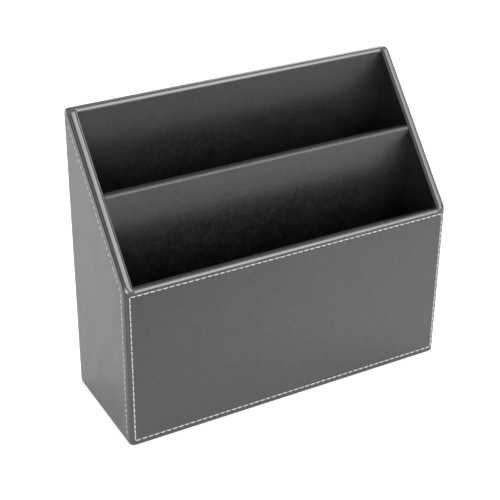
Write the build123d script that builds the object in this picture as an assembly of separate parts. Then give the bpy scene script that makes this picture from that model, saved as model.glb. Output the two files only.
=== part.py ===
from build123d import *
import os

# A two-pocket letter holder: thin boards covered in sewn leatherette, standing on a felt sheet.
# Millimetres. +X is to the right, +Y to the back, +Z up. The origin is on the surface that the
# holder stands on, under the middle of the base.

# Overall size
width = 245.0
depth = 88.0
back_height = 211.5
front_height = 120.0

# Boards, the leatherette over them and the felt below
board_thickness = 5.0
cover_thickness = 1.0
felt_proud = 0.5
felt_clearance = 0.5

# Front pocket, front to back; the rear pocket takes what is left behind the divider
front_pocket_depth = 34.5
housing_depth = 1.5
housing_clearance = 0.1

# Softly rounded edges: the roll over a wall's edge, the turn at a wall's corner seen from the side,
# and the bend where the sloped rim meets the level rim of the back
edge_radius = 2.5
corner_radius = 3.0
rim_bend_radius = 5.0

# Front covering: how far it wraps round the front corners onto the sides
corner_wrap = 4.2

# White topstitching
stitch_pitch = 4.5
stitch_length = 3.5
thread_width = 0.9
thread_height = 0.4
border_side_inset = 3.3
border_top_inset = 3.9
border_bottom_inset = 4.3
side_stitch_inset = 6.2
back_stitch_inset = 3.3

# Headless panel pins through the side boards into the ends of the cross boards
pin_diameter = 1.2
pin_length = 16.0
pin_clearance = 0.05
front_pin_shares = (0.25, 0.75)
back_pin_shares = (0.15, 0.5, 0.85)
divider_pin_shares = (0.3, 0.75)
base_pin_shares = (-0.25, 0.25)

# Places that follow from the sizes above
wall = board_thickness + 2 * cover_thickness
half_width = width / 2
half_depth = depth / 2
inner_half_width = half_width - wall
inner_half_depth = half_depth - wall
board_end = inner_half_width + cover_thickness
board_inside = inner_half_depth + cover_thickness
hem_bottom = felt_proud
board_bottom = hem_bottom + cover_thickness
base_top = board_bottom + board_thickness
floor_top = base_top + cover_thickness
board_edge_radius = edge_radius - cover_thickness
board_corner_radius = corner_radius - cover_thickness
divider_front = front_pocket_depth - inner_half_depth
divider_back = divider_front + wall
slope_rise = (back_height - front_height) / (depth - wall)
divider_top = front_height + slope_rise * (wall + front_pocket_depth)
front_seam = corner_wrap - half_depth


def block(x_range, y_range, z_range):
    """Box between two places along each axis."""
    size = [high - low for low, high in (x_range, y_range, z_range)]
    corner = [low for low, high in (x_range, y_range, z_range)]
    return Pos(*corner) * Box(*size, align=(Align.MIN, Align.MIN, Align.MIN))


def outline(points, radii):
    """Face in the YZ plane with its own radius at each corner."""
    return Plane.YZ * make_face(FilletPolyline(*points, radius=radii, close=True))


def slab(face, x_range):
    """A YZ face given thickness between two places along X."""
    low, high = x_range
    return Pos(X=low) * extrude(face, high - low, dir=(1, 0, 0))


def cross_wall_outline(outer_y, inner_y, z_range, bottom_radius, outer_radius, inner_radius):
    """Upright wall that runs across the holder, cut through to show its rounded top."""
    low, high = z_range
    points = [(outer_y, low), (inner_y, low), (inner_y, high), (outer_y, high)]
    return outline(points, [bottom_radius, 0, inner_radius, outer_radius])


def left_wall(face, x_range, radius):
    """Left side wall: rounded all round its outer face, and inside along the rim of the pockets."""
    outer_x, inner_x = x_range
    middle_x = (outer_x + inner_x) / 2
    outer_half = slab(face, (outer_x, middle_x))
    outer_half = fillet(outer_half.faces().sort_by(Axis.X)[0].edges(), radius)
    inner_half = slab(face, (middle_x, inner_x))
    thickness = (middle_x, inner_x)
    open_side = block(thickness, (-inner_half_depth, inner_half_depth), (floor_top, back_height))
    open_side += block(thickness, (-half_depth, -inner_half_depth), (front_height, back_height))
    lip = fillet(inner_half.faces().sort_by(Axis.X)[-1].edges(), radius) & open_side
    return outer_half + lip + (inner_half - open_side)


def left_and_right(left):
    """A left-hand piece and its mirror image."""
    return left, mirror(left, about=Plane.YZ)


# Side profile: sloped from the front's top edge up to the back wall, and level over the back wall
side_points = [
    (-half_depth, hem_bottom),
    (half_depth, hem_bottom),
    (half_depth, back_height),
    (inner_half_depth, back_height),
    (-half_depth, front_height),
]
side_radii = [corner_radius] * 3 + [rim_bend_radius, corner_radius]
side_outline = outline(side_points, side_radii)

# Panel pins, driven in from the outer face of each side board
front_board_middle = -half_depth + cover_thickness + board_thickness / 2
divider_middle = (divider_front + divider_back) / 2
base_middle = board_bottom + board_thickness / 2
pin_places = (
    [(front_board_middle, share * front_height) for share in front_pin_shares]
    + [(-front_board_middle, share * back_height) for share in back_pin_shares]
    + [(divider_middle, share * divider_top) for share in divider_pin_shares]
    + [(share * depth, base_middle) for share in base_pin_shares]
)


def left_pins(diameter):
    """The left side board's pins, or the holes that they leave."""
    start = Plane.YZ.offset(cover_thickness - half_width)
    return [extrude(start * Pos(y, z) * Circle(diameter / 2), pin_length) for y, z in pin_places]


left_pin_set = left_pins(pin_diameter)
left_pin_holes = left_pins(pin_diameter + 2 * pin_clearance)
right_pin_set = [mirror(pin, about=Plane.YZ) for pin in left_pin_set]
right_pin_holes = [mirror(hole, about=Plane.YZ) for hole in left_pin_holes]
pin_holes = left_pin_holes + right_pin_holes

# Boards that run across the holder, between the two side boards
across = (-board_end, board_end)
front_board = slab(
    cross_wall_outline(
        cover_thickness - half_depth, -board_inside, (board_bottom, front_height - cover_thickness),
        board_corner_radius, board_corner_radius, board_edge_radius,
    ),
    across,
)
back_board = slab(
    cross_wall_outline(
        half_depth - cover_thickness, board_inside, (board_bottom, back_height - cover_thickness),
        board_corner_radius, board_corner_radius, board_edge_radius,
    ),
    across,
)
base_board = block(across, (-board_inside, board_inside), (board_bottom, base_top))

# Divider board, with its ends housed in grooves in the side boards
housed_end = board_end + housing_depth
divider_board_top = divider_top - cover_thickness
divider_board = slab(
    cross_wall_outline(
        divider_front + cover_thickness, divider_back - cover_thickness, (base_top, divider_board_top),
        0, board_edge_radius, board_edge_radius,
    ),
    (housing_clearance - housed_end, housed_end - housing_clearance),
)
groove_front = divider_front + cover_thickness - housing_clearance
groove_back = divider_back - cover_thickness + housing_clearance
divider_groove = block(
    (-housed_end, -inner_half_width),
    (groove_front, groove_back),
    (base_top, divider_board_top + housing_clearance),
)

# Side boards
left_side_board = left_wall(
    offset(side_outline, -cover_thickness), (cover_thickness - half_width, -board_end), board_edge_radius
)
left_side_board = left_side_board - divider_groove - left_pin_holes
left_side_board, right_side_board = left_and_right(left_side_board)

# Linings glued inside the pockets: flat sheets that end where the rim begins to roll over
inside = (-inner_half_width, inner_half_width)
front_lining = block(across, (-board_inside, -inner_half_depth), (base_top, front_height - edge_radius))
back_lining = block(across, (inner_half_depth, board_inside), (base_top, back_height - edge_radius))
lining_sheet = (-board_end, -inner_half_width)
left_lining = slab(offset(side_outline, -edge_radius), lining_sheet) - divider_groove
front_pocket_side = block(lining_sheet, (-inner_half_depth, groove_front), (base_top, back_height))
rear_pocket_side = block(lining_sheet, (groove_front, inner_half_depth), (base_top, back_height))
left_front_lining, right_front_lining = left_and_right(left_lining & front_pocket_side)
left_rear_lining, right_rear_lining = left_and_right(left_lining & rear_pocket_side)
front_floor_lining = block(
    inside, (-inner_half_depth, divider_front + cover_thickness), (base_top, floor_top)
)
rear_floor_lining = block(
    inside, (divider_back - cover_thickness, inner_half_depth), (base_top, floor_top)
)

# Divider covering: one saddle folded over the divider's top
divider_cover = slab(
    cross_wall_outline(
        divider_front, divider_back, (floor_top, divider_top), 0, edge_radius, edge_radius
    ),
    inside,
)
divider_cover = divider_cover - divider_board

# Outer coverings: the walls' full thickness, less the boards and the linings inside them
left_inside = left_side_board.fuse(
    front_board, back_board, base_board, front_lining, back_lining,
    left_front_lining, left_rear_lining, *left_pin_holes,
)
left_skin = left_wall(side_outline, (-half_width, -inner_half_width), edge_radius)
left_skin = left_skin - left_inside - divider_groove
front_corner = block((-half_width, -inner_half_width), (-half_depth, front_seam), (0, back_height))
left_side_cover, right_side_cover = left_and_right(left_skin - front_corner)
front_corners = left_and_right(left_skin & front_corner)

front_cover = slab(
    cross_wall_outline(
        -half_depth, -inner_half_depth, (hem_bottom, front_height),
        corner_radius, corner_radius, edge_radius,
    ),
    inside,
)
front_cover = front_cover - front_board - front_lining - base_board
front_cover = front_cover.fuse(*front_corners).clean()

back_cover = slab(
    cross_wall_outline(
        half_depth, inner_half_depth, (hem_bottom, back_height),
        corner_radius, corner_radius, edge_radius,
    ),
    inside,
)
back_cover = back_cover - back_board - back_lining - base_board

# Pin holes in the cross boards, once the coverings have been cut to the whole boards
front_board, back_board, base_board, divider_board = (
    board - pin_holes for board in (front_board, back_board, base_board, divider_board)
)

# Felt sheet under the base, inside the turned-in hems and a little proud of them
felt_half_width = inner_half_width - felt_clearance
felt_half_depth = inner_half_depth - felt_clearance
base_felt = block(
    (-felt_half_width, felt_half_width), (-felt_half_depth, felt_half_depth), (0, board_bottom)
)

# Topstitching: each stitch is a short bar of thread with round ends, lying on the covering
stitch = extrude(SlotOverall(stitch_length, thread_width), thread_height)


def stitch_row(start, end, normal):
    """Stitches evenly spaced along a straight line on a flat face."""
    line = Vector(*end) - Vector(*start)
    count = round(line.length / stitch_pitch)
    row = []
    for number in range(count):
        middle = Vector(*start) + line * ((number + 0.5) / count)
        row.append(Plane(origin=middle, x_dir=line, z_dir=normal).location * stitch)
    return row


def stitch_rows(places, normal):
    """Rows from each place to the next."""
    stitches = []
    for start, end in zip(places, places[1:]):
        stitches += stitch_row(start, end, normal)
    return stitches


border_x = half_width - border_side_inset
border_low = hem_bottom + border_bottom_inset
border_high = front_height - border_top_inset
border = [
    (-border_x, -half_depth, border_low),
    (-border_x, -half_depth, border_high),
    (border_x, -half_depth, border_high),
    (border_x, -half_depth, border_low),
    (-border_x, -half_depth, border_low),
]
front_stitching = stitch_rows(border, (0, -1, 0))

# The side rows run up the front edge, then up the slope at the same distance from its rim
side_row_y = side_stitch_inset - half_depth
slope_drop = side_stitch_inset * (1 + slope_rise**2) ** 0.5
slope_row_low = front_height + slope_rise * side_stitch_inset - slope_drop
left_rows = [
    (-half_width, side_row_y, hem_bottom + side_stitch_inset),
    (-half_width, side_row_y, slope_row_low),
    (-half_width, inner_half_depth, back_height - slope_drop),
]
left_side_stitching = stitch_rows(left_rows, (-1, 0, 0))
right_side_stitching = [mirror(one, about=Plane.YZ) for one in left_side_stitching]

back_row_z = back_height - back_stitch_inset
back_row_x = inner_half_width - back_stitch_inset
back_rows = [(-back_row_x, half_depth, back_row_z), (back_row_x, half_depth, back_row_z)]
back_stitching = stitch_rows(back_rows, (0, 1, 0))

# One file for each piece, or for each group of like pieces
pieces = {
    "front_board": front_board,
    "back_board": back_board,
    "left_side_board": left_side_board,
    "right_side_board": right_side_board,
    "base_board": base_board,
    "divider_board": divider_board,
    "left_panel_pins": left_pin_set,
    "right_panel_pins": right_pin_set,
    "front_lining": front_lining,
    "back_lining": back_lining,
    "left_front_lining": left_front_lining,
    "right_front_lining": right_front_lining,
    "left_rear_lining": left_rear_lining,
    "right_rear_lining": right_rear_lining,
    "front_floor_lining": front_floor_lining,
    "rear_floor_lining": rear_floor_lining,
    "divider_cover": divider_cover,
    "front_cover": front_cover,
    "back_cover": back_cover,
    "left_side_cover": left_side_cover,
    "right_side_cover": right_side_cover,
    "front_stitching": front_stitching,
    "left_side_stitching": left_side_stitching,
    "right_side_stitching": right_side_stitching,
    "back_stitching": back_stitching,
    "base_felt": base_felt,
}
os.makedirs("parts", exist_ok=True)
for name, piece in pieces.items():
    solids = piece if isinstance(piece, list) else [piece]
    export_step(Compound([solid for one in solids for solid in one.solids()]), f"parts/{name}.step")
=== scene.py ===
# A two-pocket letter holder: thin boards pinned into an open box with a divider, covered outside and
# lined inside with black leatherette, topstitched in white and standing on a sheet of felt.
# Metres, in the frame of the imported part: +X to the right, +Y to the back, +Z up.
import math

import bmesh
import bpy
from mathutils import Matrix, Vector
from mathutils.geometry import intersect_point_line


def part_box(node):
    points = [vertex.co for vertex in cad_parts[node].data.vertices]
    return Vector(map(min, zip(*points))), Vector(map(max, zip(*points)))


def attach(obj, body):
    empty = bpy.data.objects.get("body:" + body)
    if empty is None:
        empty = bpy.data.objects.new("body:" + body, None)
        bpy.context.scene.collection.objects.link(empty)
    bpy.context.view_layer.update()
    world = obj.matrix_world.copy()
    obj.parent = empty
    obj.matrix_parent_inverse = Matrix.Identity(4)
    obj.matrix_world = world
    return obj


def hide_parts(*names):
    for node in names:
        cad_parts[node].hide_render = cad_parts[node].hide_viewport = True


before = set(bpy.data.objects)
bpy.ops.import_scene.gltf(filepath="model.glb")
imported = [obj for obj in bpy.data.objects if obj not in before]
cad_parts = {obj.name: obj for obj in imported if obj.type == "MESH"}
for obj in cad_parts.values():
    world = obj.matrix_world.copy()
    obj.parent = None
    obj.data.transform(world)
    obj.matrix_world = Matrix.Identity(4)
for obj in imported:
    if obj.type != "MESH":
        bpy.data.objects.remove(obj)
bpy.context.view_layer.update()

# Boards
# Six pieces of raw fibreboard make the box: two sides, front, back, base and the divider housed in the
# sides. All of them end up behind leatherette, so their finish is only pressed fibres and sawn edges.
mm = 0.001
fibre_dark = (0.27, 0.19, 0.12)
fibre_light = (0.50, 0.38, 0.26)
fibres_per_metre = 900.0
clumps_per_metre = 60.0
fibre_share = 0.6
fibre_depth = 0.2 * mm
fibre_relief = 0.4
board_roughness = 0.85


def start_finish(name):
    """A new material, its node tree and its shader."""
    finish = bpy.data.materials.new(name)
    finish.use_nodes = True
    return finish, finish.node_tree, finish.node_tree.nodes["Principled BSDF"]


def place(tree, kind, values=None, links=None, **settings):
    """Adds a node with its settings, its input values and the sockets that feed it."""
    node = tree.nodes.new(kind)
    for name, value in settings.items():
        setattr(node, name, value)
    for socket, value in (values or {}).items():
        node.inputs[socket].default_value = value
    for socket, source in (links or {}).items():
        tree.links.new(source, node.inputs[socket])
    return node


def part_spot(tree):
    """The place of each point of a surface, in the part's frame."""
    return place(tree, "ShaderNodeTexCoord").outputs["Object"]


def noise(tree, spot, scale, detail, roughness=0.5):
    """Cloudy noise between 0 and 1, at a scale of patches per metre."""
    values = {"Scale": scale, "Detail": detail, "Roughness": roughness}
    return place(tree, "ShaderNodeTexNoise", values, {"Vector": spot}).outputs["Fac"]


def add_up(tree, *parts, start=0.0):
    """Adds up values, each times its weight, on top of a start."""
    total = None
    for value, weight in parts:
        step = place(tree, "ShaderNodeMath", {1: weight, 2: start}, {0: value}, operation="MULTIPLY_ADD")
        if total:
            tree.links.new(total, step.inputs[2])
        total = step.outputs[0]
    return total


def ramp(tree, factor, *stops):
    """A colour ramp through (position, colour) stops."""
    node = place(tree, "ShaderNodeValToRGB", links={"Fac": factor})
    elements = node.color_ramp.elements
    while len(elements) < len(stops):
        elements.new(0.5)
    for element, (position, colour) in zip(elements, stops):
        element.position = position
        element.color = (*colour, 1)
    return node.outputs["Color"]


def emboss(tree, shader, height, depth, strength):
    """Gives a finish the relief of a height, where a height of 1 is the depth in metres."""
    bump = place(tree, "ShaderNodeBump", {"Strength": strength, "Distance": depth}, {"Height": height})
    tree.links.new(bump.outputs["Normal"], shader.inputs["Normal"])


def finish_node(name, finish):
    """Gives a carried-over piece its material."""
    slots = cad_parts[name].material_slots
    for slot in slots:
        slot.material = finish


board_finish, tree, shader = start_finish("raw fibreboard")
shader.inputs["Roughness"].default_value = board_roughness
spot = part_spot(tree)
fibres = noise(tree, spot, fibres_per_metre, detail=6.0, roughness=0.7)
clumps = noise(tree, spot, clumps_per_metre, detail=3.0)
mix = add_up(tree, (fibres, fibre_share), (clumps, 1 - fibre_share))
tone = ramp(tree, mix, (0.3, fibre_dark), (0.7, fibre_light))
tree.links.new(tone, shader.inputs["Base Color"])
emboss(tree, shader, fibres, fibre_depth, fibre_relief)
for board in (
    "front_board", "back_board", "left_side_board", "right_side_board", "base_board", "divider_board",
):
    finish_node(board, board_finish)

# Panel pins
# Headless steel pins, driven through each side board into the ends of the boards between them and
# covered by the leatherette. Bright drawn wire, with fine draw lines along each pin.
wire_dark = (0.42, 0.42, 0.43)
wire_light = (0.62, 0.62, 0.63)
wire_smooth = 0.25
wire_dull = 0.4
draw_lines_per_metre = (60.0, 6000.0, 6000.0)


def remap(tree, value, ends, results=(0.0, 1.0), kind="LINEAR"):
    """Takes a value from between two ends to between two results."""
    values = {"From Min": ends[0], "From Max": ends[1], "To Min": results[0], "To Max": results[1]}
    node = place(tree, "ShaderNodeMapRange", values, {"Value": value}, interpolation_type=kind)
    return node.outputs["Result"]


pin_finish, tree, shader = start_finish("bright drawn wire")
shader.inputs["Metallic"].default_value = 1.0
along = place(tree, "ShaderNodeMapping", {"Scale": draw_lines_per_metre}, {"Vector": part_spot(tree)})
lines = noise(tree, along.outputs["Vector"], 1.0, detail=2.0)
tone = ramp(tree, lines, (0.3, wire_dark), (0.7, wire_light))
tree.links.new(tone, shader.inputs["Base Color"])
gloss = remap(tree, lines, (0.0, 1.0), (wire_smooth, wire_dull))
tree.links.new(gloss, shader.inputs["Roughness"])
for pins in ("left_panel_pins", "right_panel_pins"):
    finish_node(pins, pin_finish)

# Linings
# Flat sheets of black leatherette glued inside the pockets, on the walls and the floor. Their upper
# edges butt against the outer covering where it comes over the rim.
lining_dark = (0.006, 0.0057, 0.0075)
lining_light = (0.016, 0.0155, 0.019)
grain_depth = 0.1 * mm
grain_relief = 0.5
stirs_per_metre = 420.0
stir_reach = 0.9 * mm
crease_width = 0.42
pores_per_metre = 5200.0
swells_per_metre = 300.0
clouds_per_metre = 60.0
rubs_per_metre = 70.0
pore_height = 0.3
swell_height = 2.2
# How much darker the creases between the pebbles are painted: painted shade in the creases.
crease_shade_tone = 0.15
swell_tone = 2.6
cloud_tone = 1.0
tone_start = -1.4


def make_leather_grain():
    """Pressed leatherette: pebbles with creases between them, pores, low swells and faint clouds of tone."""
    group = bpy.data.node_groups.new("leather grain", "ShaderNodeTree")
    face = group.interface
    face.new_socket("Vector", in_out="INPUT", socket_type="NodeSocketVector")
    face.new_socket("Pebbles per metre", in_out="INPUT", socket_type="NodeSocketFloat")
    for name in ("Height", "Tone", "Gloss"):
        face.new_socket(name, in_out="OUTPUT", socket_type="NodeSocketFloat")
    inlet = place(group, "NodeGroupInput").outputs
    outlet = place(group, "NodeGroupOutput").inputs
    spot = inlet["Vector"]
    # The pebbles are stirred about a little, so that their creases don't run straight.
    stir = place(group, "ShaderNodeTexNoise", {"Scale": stirs_per_metre, "Detail": 2.0}, {"Vector": spot})
    stir = place(
        group, "ShaderNodeVectorMath", {1: (0.5, 0.5, 0.5)}, {0: stir.outputs["Color"]}, operation="SUBTRACT"
    )
    stir = place(
        group, "ShaderNodeVectorMath", {"Scale": stir_reach}, {0: stir.outputs["Vector"]}, operation="SCALE"
    )
    skin = place(group, "ShaderNodeVectorMath", links={0: spot, 1: stir.outputs["Vector"]}, operation="ADD")
    pebbles = place(
        group, "ShaderNodeTexVoronoi",
        links={"Vector": skin.outputs["Vector"], "Scale": inlet["Pebbles per metre"]},
        feature="DISTANCE_TO_EDGE",
    )
    crease = remap(group, pebbles.outputs["Distance"], (0.0, crease_width), kind="SMOOTHSTEP")
    pores = noise(group, spot, pores_per_metre, detail=3.0)
    swell = noise(group, spot, swells_per_metre, detail=3.0)
    clouds = noise(group, spot, clouds_per_metre, detail=4.0, roughness=0.55)
    rubs = noise(group, spot, rubs_per_metre, detail=5.0, roughness=0.6)
    height = add_up(group, (crease, 1.0), (pores, pore_height), (swell, swell_height))
    # The swells and clouds change the tone at random. The creases are painted darker, as painted shade.
    tone = add_up(
        group, (crease, crease_shade_tone), (swell, swell_tone), (clouds, cloud_tone), start=tone_start
    )
    group.links.new(height, outlet["Height"])
    group.links.new(tone, outlet["Tone"])
    group.links.new(rubs, outlet["Gloss"])
    return group


def fade(tree, share, start, end):
    """Goes from a start to an end as a share goes from 0 to 1."""
    node = place(tree, "ShaderNodeMix", {"B": end}, {"Factor": share, "A": start}, data_type="FLOAT")
    return node.outputs["Result"]


leather_grain = make_leather_grain()
# Leatherette that is stretched round an edge is shinier and smoother than on the flat. A sheet without
# the stretch attribute is flat all over.
flat_shine = 0.1
edge_shine = 1.0
edge_roughness = 0.2
edge_relief = 0.3
coat_roughness = 0.15
coat_index = 1.7
shine_tint = (0.97, 0.96, 1.0, 1.0)


def leather_finish(name, dark, light, smooth, dull, index, pebbles):
    """Black leatherette between two tones and two degrees of gloss, with so many pebbles per metre."""
    finish, tree, shader = start_finish(name)
    grain = place(tree, "ShaderNodeGroup", node_tree=leather_grain)
    grain.inputs["Pebbles per metre"].default_value = pebbles
    tree.links.new(part_spot(tree), grain.inputs["Vector"])
    stretch = place(tree, "ShaderNodeAttribute", attribute_name="stretch").outputs["Fac"]
    tone = ramp(tree, grain.outputs["Tone"], (0.0, dark), (1.0, light))
    tree.links.new(tone, shader.inputs["Base Color"])
    gloss = remap(tree, grain.outputs["Gloss"], (0.3, 0.7), (smooth, dull))
    gloss = fade(tree, stretch, gloss, edge_roughness)
    tree.links.new(gloss, shader.inputs["Roughness"])
    kept = remap(tree, stretch, (0.0, 1.0), (1.0, edge_relief))
    relief = place(tree, "ShaderNodeMath", links={0: kept, 1: grain.outputs["Height"]}, operation="MULTIPLY")
    emboss(tree, shader, relief.outputs[0], grain_depth, grain_relief)
    shine = remap(tree, stretch, (0.0, 1.0), (flat_shine, edge_shine))
    tree.links.new(shine, shader.inputs["Coat Weight"])
    shader.inputs["Coat Roughness"].default_value = coat_roughness
    shader.inputs["Coat IOR"].default_value = coat_index
    shader.inputs["IOR"].default_value = index
    shader.inputs["Specular Tint"].default_value = shine_tint
    return finish


lining_finish = leather_finish(
    "lining leatherette", lining_dark, lining_light, smooth=0.29, dull=0.37, index=1.68, pebbles=1300.0
)
for lining in (
    "front_lining", "back_lining", "left_front_lining", "right_front_lining",
    "left_rear_lining", "right_rear_lining", "front_floor_lining", "rear_floor_lining",
):
    finish_node(lining, lining_finish)

# Divider covering
# One saddle of leatherette, folded over the top of the divider board and glued down both its faces. It
# reaches from side wall to side wall, so only its fold and its two faces are ever seen.
cover_dark = (0.003, 0.003, 0.0032)
cover_light = (0.014, 0.014, 0.0146)
cover_finish = leather_finish(
    "cover leatherette", cover_dark, cover_light, smooth=0.28, dull=0.36, index=1.9, pebbles=1000.0
)
leather_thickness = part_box("front_board")[0].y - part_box("front_cover")[0].y
roll_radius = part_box("back_cover")[1].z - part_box("back_lining")[1].z
roll_steps = 6
cut_edge_radius = 0.2 * mm
cut_edge_steps = 2
flat_panel_weight = 90
# Two places less than a hair apart count as one, and corners closer than the weld are joined.
hair = 0.001 * mm
weld = 0.05 * mm
# Faces less than this angle apart lie in one plane. A face that looks up by more than the tilt is the
# top of a rim, and one that is square to an axis has nearly all of its normal along it.
level = math.radians(3)
rim_tilt = 0.5
square = 0.9


def roll(body, edges, radius):
    """Rounds edges over to a radius."""
    bmesh.ops.bevel(
        body, geom=edges, offset=radius, segments=roll_steps, profile=0.5, affect="EDGES", material=-1
    )


def flat_panels(body):
    """The ways that the flat panels face, without the tops of the rims."""
    return [face.normal.copy() for face in body.faces if face.normal.z < rim_tilt]


def mark_stretch(body, flats):
    """Marks the leatherette that is stretched round an edge, off the flat panels."""
    stretch = body.verts.layers.float.new("stretch")
    body.normal_update()
    for vert in body.verts:
        touches = any(face.normal.angle(flat) < level for face in vert.link_faces for flat in flats)
        vert[stretch] = 0 if touches else 1


def finish_sheet(name, body, finish):
    """Makes a sheet of leatherette from its outer surface: full thickness, soft cut edges and flat panels."""
    bmesh.ops.remove_doubles(body, verts=body.verts, dist=weld)
    cut_edge = body.edges.layers.float.new("bevel_weight_edge")
    for edge in body.edges:
        edge[cut_edge] = edge.is_boundary
    mesh = bpy.data.meshes.new(name)
    body.to_mesh(mesh)
    body.free()
    mesh.shade_smooth()
    mesh.materials.append(finish)
    sheet = bpy.data.objects.new(name, mesh)
    bpy.context.scene.collection.objects.link(sheet)
    thicken = sheet.modifiers.new("thickness", "SOLIDIFY")
    thicken.thickness = leather_thickness
    thicken.offset = -1
    thicken.use_even_offset = True
    soften = sheet.modifiers.new("cut edges", "BEVEL")
    soften.width = cut_edge_radius
    soften.segments = cut_edge_steps
    soften.limit_method = "WEIGHT"
    flatten = sheet.modifiers.new("flat panels", "WEIGHTED_NORMAL")
    flatten.weight = flat_panel_weight
    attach(sheet, "root")
    return sheet


low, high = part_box("divider_cover")
saddle = bmesh.new()
bmesh.ops.create_cube(saddle, size=1.0)
bmesh.ops.scale(saddle, vec=high - low, verts=saddle.verts)
bmesh.ops.translate(saddle, vec=(low + high) / 2, verts=saddle.verts)
fold = [edge for edge in saddle.edges if all(vert.co.z > high.z - mm for vert in edge.verts)]
fold = [edge for edge in fold if abs(edge.verts[0].co.y - edge.verts[1].co.y) < mm]
flats = flat_panels(saddle)
roll(saddle, fold, roll_radius)
mark_stretch(saddle, flats)
unseen = [face for face in saddle.faces if abs(face.normal.x) > square or face.normal.z < -square]
bmesh.ops.delete(saddle, geom=unseen, context="FACES")
divider_cover = finish_sheet("divider_covering", saddle, cover_finish)
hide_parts("divider_cover")

# Thread
# White polyester thread for the topstitching, sewn through the leatherette before it is glued down. Each
# stitch comes up out of one needle hole, lies over the surface as a low arch and goes down into the next.
# The grooves between the plies are painted darker than the white thread: painted shade.
thread_groove_shade = (0.56, 0.555, 0.545)
thread_light = (0.82, 0.81, 0.80)
thread_roughness = 0.65
thread_sheen = 0.3
ply_depth = 0.1 * mm
ply_relief = 0.7
stitch_pitch = 4.5 * mm
stitch_length = 3.5 * mm
thread_width = 0.9 * mm
stitch_rise = 0.5 * mm
stitch_sink = 0.25 * mm
channel_width = 2.0 * mm
channel_depth = 0.3 * mm
thread_sides = 8
thread_rings = 6
thread_finish, tree, shader = start_finish("white thread")
shader.inputs["Roughness"].default_value = thread_roughness
shader.inputs["Sheen Weight"].default_value = thread_sheen
twist = place(tree, "ShaderNodeUVMap", uv_map="twist").outputs["UV"]
plies = place(
    tree, "ShaderNodeTexWave", {"Scale": 1.6, "Distortion": 1.2, "Detail": 2.0, "Detail Scale": 3.0},
    {"Vector": twist}, bands_direction="DIAGONAL",
).outputs["Fac"]
# The low bands of the plies, which the bump sinks as grooves, are painted darker as painted shade.
tone = ramp(tree, plies, (0.1, thread_groove_shade), (0.6, thread_light))
tree.links.new(tone, shader.inputs["Base Color"])
emboss(tree, shader, plies, ply_depth, ply_relief)


def make_stitch():
    """One arch of thread along X, over the plane z = 0."""
    arch_radius = stitch_length**2 / (8 * stitch_rise) + stitch_rise / 2
    sweep = 2 * math.asin(stitch_length / (2 * arch_radius))
    centre = Vector((0, 0, stitch_rise - stitch_sink - arch_radius))
    arch = bmesh.new()
    ring = bmesh.ops.create_circle(arch, segments=thread_sides, radius=thread_width / 2)["verts"]
    lift = Matrix.Translation(centre) @ Matrix.Rotation(-sweep / 2, 4, "Y")
    lift = lift @ Matrix.Translation((0, 0, arch_radius)) @ Matrix.Rotation(math.pi / 2, 4, "Y")
    bmesh.ops.transform(arch, matrix=lift, verts=ring)
    outline = arch.verts[:] + arch.edges[:]
    bmesh.ops.spin(arch, geom=outline, cent=centre, axis=(0, 1, 0), angle=sweep, steps=thread_rings)
    bmesh.ops.holes_fill(arch, edges=arch.edges, sides=thread_sides)
    bmesh.ops.recalc_face_normals(arch, faces=arch.faces)
    layer = arch.loops.layers.uv.new("twist")
    for face in arch.faces:
        for loop in face.loops:
            loop[layer].uv = loop.vert.co.xy / thread_width
    mesh = bpy.data.meshes.new("stitch")
    arch.to_mesh(mesh)
    arch.free()
    return mesh


stitch = make_stitch()


def sew(name, outward, rows):
    """Rows of stitches on a flat face, each row from one place to the next."""
    seam = bmesh.new()
    for start, end in rows:
        line = end - start
        along = line.normalized()
        across = outward.cross(along)
        turn = Matrix((along, across, outward)).transposed().to_4x4()
        count = round(line.length / stitch_pitch)
        for number in range(count):
            sewn = len(seam.verts)
            seam.from_mesh(stitch)
            seam.verts.ensure_lookup_table()
            middle = start + line * ((number + 0.5) / count) - outward * channel_depth
            bmesh.ops.transform(seam, matrix=Matrix.Translation(middle) @ turn, verts=seam.verts[sewn:])
    mesh = bpy.data.meshes.new(name)
    seam.to_mesh(mesh)
    seam.free()
    mesh.shade_smooth()
    mesh.materials.append(thread_finish)
    thread = bpy.data.objects.new(name, mesh)
    bpy.context.scene.collection.objects.link(thread)
    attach(thread, "root")
    return thread


def cut(body, point, normal):
    """Adds a line of edges where a plane crosses the sheet."""
    everything = body.verts[:] + body.edges[:] + body.faces[:]
    bmesh.ops.bisect_plane(body, geom=everything, dist=hair, plane_co=point, plane_no=normal)


def press_channel(body, outward, rows):
    """Draws the sheet in along its rows of stitches, in a soft groove, on the face with the stitches only."""
    for start, end in rows:
        across = outward.cross(end - start).normalized()
        for quarter in range(-2, 3):
            cut(body, start + across * channel_width * quarter / 4, across)
    for vert in body.verts:
        below = (rows[0][0] - vert.co).dot(outward)
        reaches = []
        for start, end in rows:
            share = intersect_point_line(vert.co, start, end)[1]
            reaches.append((vert.co - start.lerp(end, min(max(share, 0), 1))).length)
        if below < channel_width / 4 and min(reaches) < channel_width / 2:
            wave = math.cos(2 * math.pi * min(reaches) / channel_width)
            vert.co -= outward * channel_depth * (1 + wave) / 2


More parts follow.
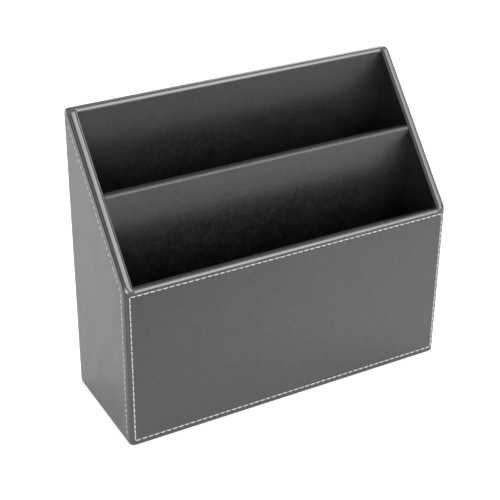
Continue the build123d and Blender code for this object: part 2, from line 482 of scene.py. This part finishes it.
# Side coverings
# Each side is wrapped in one piece of leatherette, turned over the sloped rim into the pockets, round the
# rear corner onto the back, and under the base as a hem. A seam joins it to the front covering.
half_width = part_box("front_cover")[1].x
inner_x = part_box("back_cover")[1].x
front_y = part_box("front_cover")[0].y
front_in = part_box("front_cover")[1].y
back_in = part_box("back_cover")[0].y
back_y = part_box("back_cover")[1].y
hem_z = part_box("back_cover")[0].z
floor_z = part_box("front_floor_lining")[1].z
front_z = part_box("front_board")[1].z + leather_thickness
back_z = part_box("back_cover")[1].z
seam_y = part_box("left_side_cover")[0].y
front_corner_radius = 3.7 * mm
rear_corner_radius = 3.0 * mm
base_edge_radius = 1.5 * mm
creased = math.radians(30)


def sharp_edges(body):
    """The edges at which the surface turns away outwards."""
    return [edge for edge in body.edges if edge.calc_face_angle_signed() > creased]


def wrapped_shell():
    """The whole outer surface, pockets included, with every outer edge and rim softly rolled over."""
    shell = bmesh.new()
    spots = {
        "toe": (half_width, front_y, hem_z),
        "heel": (half_width, back_y, hem_z),
        "peak": (half_width, back_y, back_z),
        "bend": (half_width, back_in, back_z),
        "lip": (half_width, front_y, front_z),
        "inner bend": (inner_x, back_in, back_z),
        "inner lip": (inner_x, front_y, front_z),
        "front rim": (inner_x, front_in, front_z),
        "front foot": (inner_x, front_in, floor_z),
        "back foot": (inner_x, back_in, floor_z),
    }
    left = {name: shell.verts.new((-x, y, z)) for name, (x, y, z) in spots.items()}
    right = {name: shell.verts.new((x, y, z)) for name, (x, y, z) in spots.items()}
    for side in (left, right):
        for names in (
            ("toe", "heel", "peak", "bend", "lip"),
            ("lip", "bend", "inner bend", "inner lip"),
            ("inner lip", "front rim", "front foot", "back foot", "inner bend"),
        ):
            shell.faces.new([side[name] for name in names])
    for names in (
        ("toe", "lip", "inner lip"),
        ("heel", "peak"),
        ("toe", "heel"),
        ("inner lip", "front rim"),
        ("front rim", "front foot"),
        ("inner bend", "back foot"),
        ("front foot", "back foot"),
        ("inner bend", "bend", "peak"),
    ):
        shell.faces.new([left[name] for name in names] + [right[name] for name in reversed(names)])
    bmesh.ops.recalc_face_normals(shell, faces=shell.faces)
    for foot, top, radius in (("toe", "lip", front_corner_radius), ("heel", "peak", rear_corner_radius)):
        roll(shell, [shell.edges.get((side[foot], side[top])) for side in (left, right)], radius)
    base = [edge for edge in sharp_edges(shell) if all(vert.co.z < hem_z + hair for vert in edge.verts)]
    roll(shell, base, base_edge_radius)
    flats = flat_panels(shell)
    roll(shell, sharp_edges(shell), roll_radius)
    mark_stretch(shell, flats)
    return shell


def covering(belongs):
    """The part of the shell that one covering takes, less what the linings and the felt cover."""
    body = wrapped_shell()
    for side in (-1, 1):
        cut(body, (side * inner_x, 0, 0), (1, 0, 0))
    for y in (front_in, back_in, seam_y):
        cut(body, (0, y, 0), (0, 1, 0))
    spare = []
    for face in body.faces:
        middle = face.calc_center_median()
        flat_inside = abs(middle.x) < inner_x + hair and front_in - hair < middle.y < back_in + hair
        if flat_inside or not belongs(middle):
            spare.append(face)
    bmesh.ops.delete(body, geom=spare, context="FACES")
    return body


slope = Vector((0, back_in - front_y, back_z - front_z)).normalized()
for side, name in ((-1, "left_side"), (1, "right_side")):
    row_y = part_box(f"{name}_stitching")[0].y + thread_width / 2
    inset = row_y - front_y
    drop = inset / slope.y
    foot = Vector((side * half_width, row_y, hem_z + inset))
    knee = Vector((side * half_width, row_y, front_z + inset * slope.z / slope.y - drop))
    head = Vector((side * half_width, back_in, back_z - drop))
    rows = ((foot, knee), (knee, head))
    outward = Vector((side, 0, 0))
    body = covering(lambda spot: side * spot.x > inner_x - hair and spot.y > seam_y)
    press_channel(body, outward, rows)
    piece = finish_sheet(f"{name}_covering", body, cover_finish)
    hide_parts(f"{name}_cover")
    thread = sew(f"{name}_topstitching", outward, rows)
    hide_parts(f"{name}_stitching")

# Back covering
# One sheet of leatherette over the back board, turned over the level rim into the rear pocket and under
# the base, and glued down. One row of stitches runs along under the rim.
low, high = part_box("back_stitching")
row_z = (low.z + high.z) / 2
row_end = high.x + (stitch_pitch - stitch_length) / 2
rows = ((Vector((-row_end, back_y, row_z)), Vector((row_end, back_y, row_z))),)
outward = Vector((0, 1, 0))
body = covering(lambda spot: abs(spot.x) < inner_x - hair and spot.y > 0)
press_channel(body, outward, rows)
back_cover = finish_sheet("back_covering", body, cover_finish)
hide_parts("back_cover")
thread = sew("back_topstitching", outward, rows)
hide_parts("back_stitching")

# Front covering
# One sheet of leatherette over the low front, turned over its rim, under the base, and round both front
# corners onto the sides, where the seam is. Stitches run all round the border.
low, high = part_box("front_stitching")
row_left = low.x + thread_width / 2
row_right = high.x - thread_width / 2
row_bottom = low.z + thread_width / 2
row_top = high.z - thread_width / 2
corners = ((row_left, row_bottom), (row_left, row_top), (row_right, row_top), (row_right, row_bottom))
border = [Vector((x, front_y, z)) for x, z in corners]
rows = tuple(zip(border, border[1:] + border[:1]))
outward = Vector((0, -1, 0))
body = covering(lambda spot: spot.y < 0 and (abs(spot.x) < inner_x - hair or spot.y < seam_y))
press_channel(body, outward, rows)
front_cover = finish_sheet("front_covering", body, cover_finish)
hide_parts("front_cover")
thread = sew("front_topstitching", outward, rows)
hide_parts("front_stitching")

# Felt
# A sheet of black pressed felt, glued under the base inside the hems of the coverings. The holder stands
# on it, and it keeps the holder from sliding.
felt_dark = (0.016, 0.016, 0.017)
felt_light = (0.045, 0.045, 0.048)
felt_roughness = 0.95
fuzz_per_metre = 1500.0
fuzz_depth = 0.4 * mm
fuzz_relief = 0.8
felt_finish, tree, shader = start_finish("pressed felt")
shader.inputs["Roughness"].default_value = felt_roughness
fuzz = noise(tree, part_spot(tree), fuzz_per_metre, detail=8.0, roughness=0.75)
tone = ramp(tree, fuzz, (0.35, felt_dark), (0.7, felt_light))
tree.links.new(tone, shader.inputs["Base Color"])
emboss(tree, shader, fuzz, fuzz_depth, fuzz_relief)
finish_node("base_felt", felt_finish)

# Studio
# A broad white floor under a white background, with soft lights all round the holder, and the camera at
# the photograph's viewing angle.
pure_white = (1, 1, 1, 1)
floor_reach = 6.0
floor_mesh = bpy.data.meshes.new("floor")
floor = bmesh.new()
bmesh.ops.create_grid(floor, x_segments=1, y_segments=1, size=floor_reach)
floor.to_mesh(floor_mesh)
floor.free()
floor_object = bpy.data.objects.new("floor", floor_mesh)
bpy.context.scene.collection.objects.link(floor_object)

# The camera sees an even white floor. For the holder, a pool of light is painted into the floor's colour: it
# fades to painted shade towards the front left, and the holder sees it in its reflections.
seen_white = 0.8
painted_pool_white = 0.87
painted_pool_dim_white = 0.34
painted_pool_way = (0.45, 0.893, 0.0)
painted_pool_start = -0.06
painted_pool_end = -0.36
seen_glow = 0.66
mirrored_glow = 0.4
floor_finish, tree, shader = start_finish("white floor")
floor_mesh.materials.append(floor_finish)
shader.inputs["Roughness"].default_value = 1.0
shader.inputs["Specular IOR Level"].default_value = 0.0
rays = place(tree, "ShaderNodeLightPath").outputs
painted_pool_reach = place(tree, "ShaderNodeVectorMath", {1: painted_pool_way}, {0: part_spot(tree)}, operation="DOT_PRODUCT")
# The painted pool of light: the floor's colour grows darker from behind on the right towards the front left.
white = remap(
    tree, painted_pool_reach.outputs["Value"], (painted_pool_start, painted_pool_end), (painted_pool_white, painted_pool_dim_white), kind="SMOOTHSTEP"
)
white = fade(tree, rays["Is Camera Ray"], white, seen_white)
tree.links.new(white, shader.inputs["Base Color"])
glow = add_up(
    tree, (rays["Is Glossy Ray"], mirrored_glow), (rays["Is Camera Ray"], seen_glow),
    (rays["Is Transmission Ray"], seen_glow),
)
shader.inputs["Emission Color"].default_value = pure_white
tree.links.new(glow, shader.inputs["Emission Strength"])

# Each light: degrees from the front towards the right, degrees up, strength, and how narrow it is.
soft_lights = {
    "low in front, on the right": (30, 6, 1.0, 14.0),
    "low behind, on the right": (120, 6, 10.5, 14.0),
    "low behind, on the left": (210, 6, 1.4, 14.0),
    "low in front, on the left": (330, 6, 5.2, 14.0),
    "half way up on the left": (270, 48, 1.7, 18.0),
    "main, its lower half": (30, 26, 3.0, 35.0),
    "main, its upper half": (30, 42, 1.8, 35.0),
    "high on the right": (55, 57, 2.2, 35.0),
    "small and high on the right": (34, 54, 1.0, 60.0),
    "broad, overhead and behind": (180, 72, 0.8, 8.0),
}
ambient = 0.12
world = bpy.data.worlds.new("studio")
bpy.context.scene.world = world
world.use_nodes = True
tree = world.node_tree
sky = tree.nodes["Background"]
sky.inputs["Color"].default_value = pure_white
way = place(tree, "ShaderNodeTexCoord").outputs["Generated"]
lights = []
for bearing, height, strength, focus in soft_lights.values():
    turn = math.radians(bearing)
    tilt = math.radians(height)
    toward = (math.sin(turn) * math.cos(tilt), -math.cos(turn) * math.cos(tilt), math.sin(tilt))
    near = place(tree, "ShaderNodeVectorMath", {1: toward}, {0: way}, operation="DOT_PRODUCT")
    fall = add_up(tree, (near.outputs["Value"], focus), start=-focus)
    spread = place(tree, "ShaderNodeMath", links={0: fall}, operation="EXPONENT")
    lights.append((spread.outputs[0], strength))
light = add_up(tree, *lights, start=ambient)
rays = place(tree, "ShaderNodeLightPath").outputs
seen = place(
    tree, "ShaderNodeMath", links={0: rays["Is Camera Ray"], 1: rays["Is Transmission Ray"]},
    operation="MAXIMUM",
)
light = fade(tree, seen.outputs[0], light, 1.0)
tree.links.new(light, sky.inputs["Strength"])

camera_place = (-0.39506, -0.69205, 0.55043)
turn_right = math.radians(29.128)
look_down = math.radians(29.671)
lean = math.radians(0.627)
camera_data = bpy.data.cameras.new("camera")
camera = bpy.data.objects.new("camera", camera_data)
bpy.context.scene.collection.objects.link(camera)
camera_data.sensor_width = 36.0
camera_data.lens = 95.35
camera_data.clip_start = 0.01
camera.location = camera_place
aim = Matrix.Rotation(-turn_right, 3, "Z") @ Matrix.Rotation(math.pi / 2 - look_down, 3, "X")
camera.rotation_euler = (aim @ Matrix.Rotation(lean, 3, "Z")).to_euler()
bpy.context.scene.camera = camera
bpy.context.scene.view_settings.view_transform = "Standard"
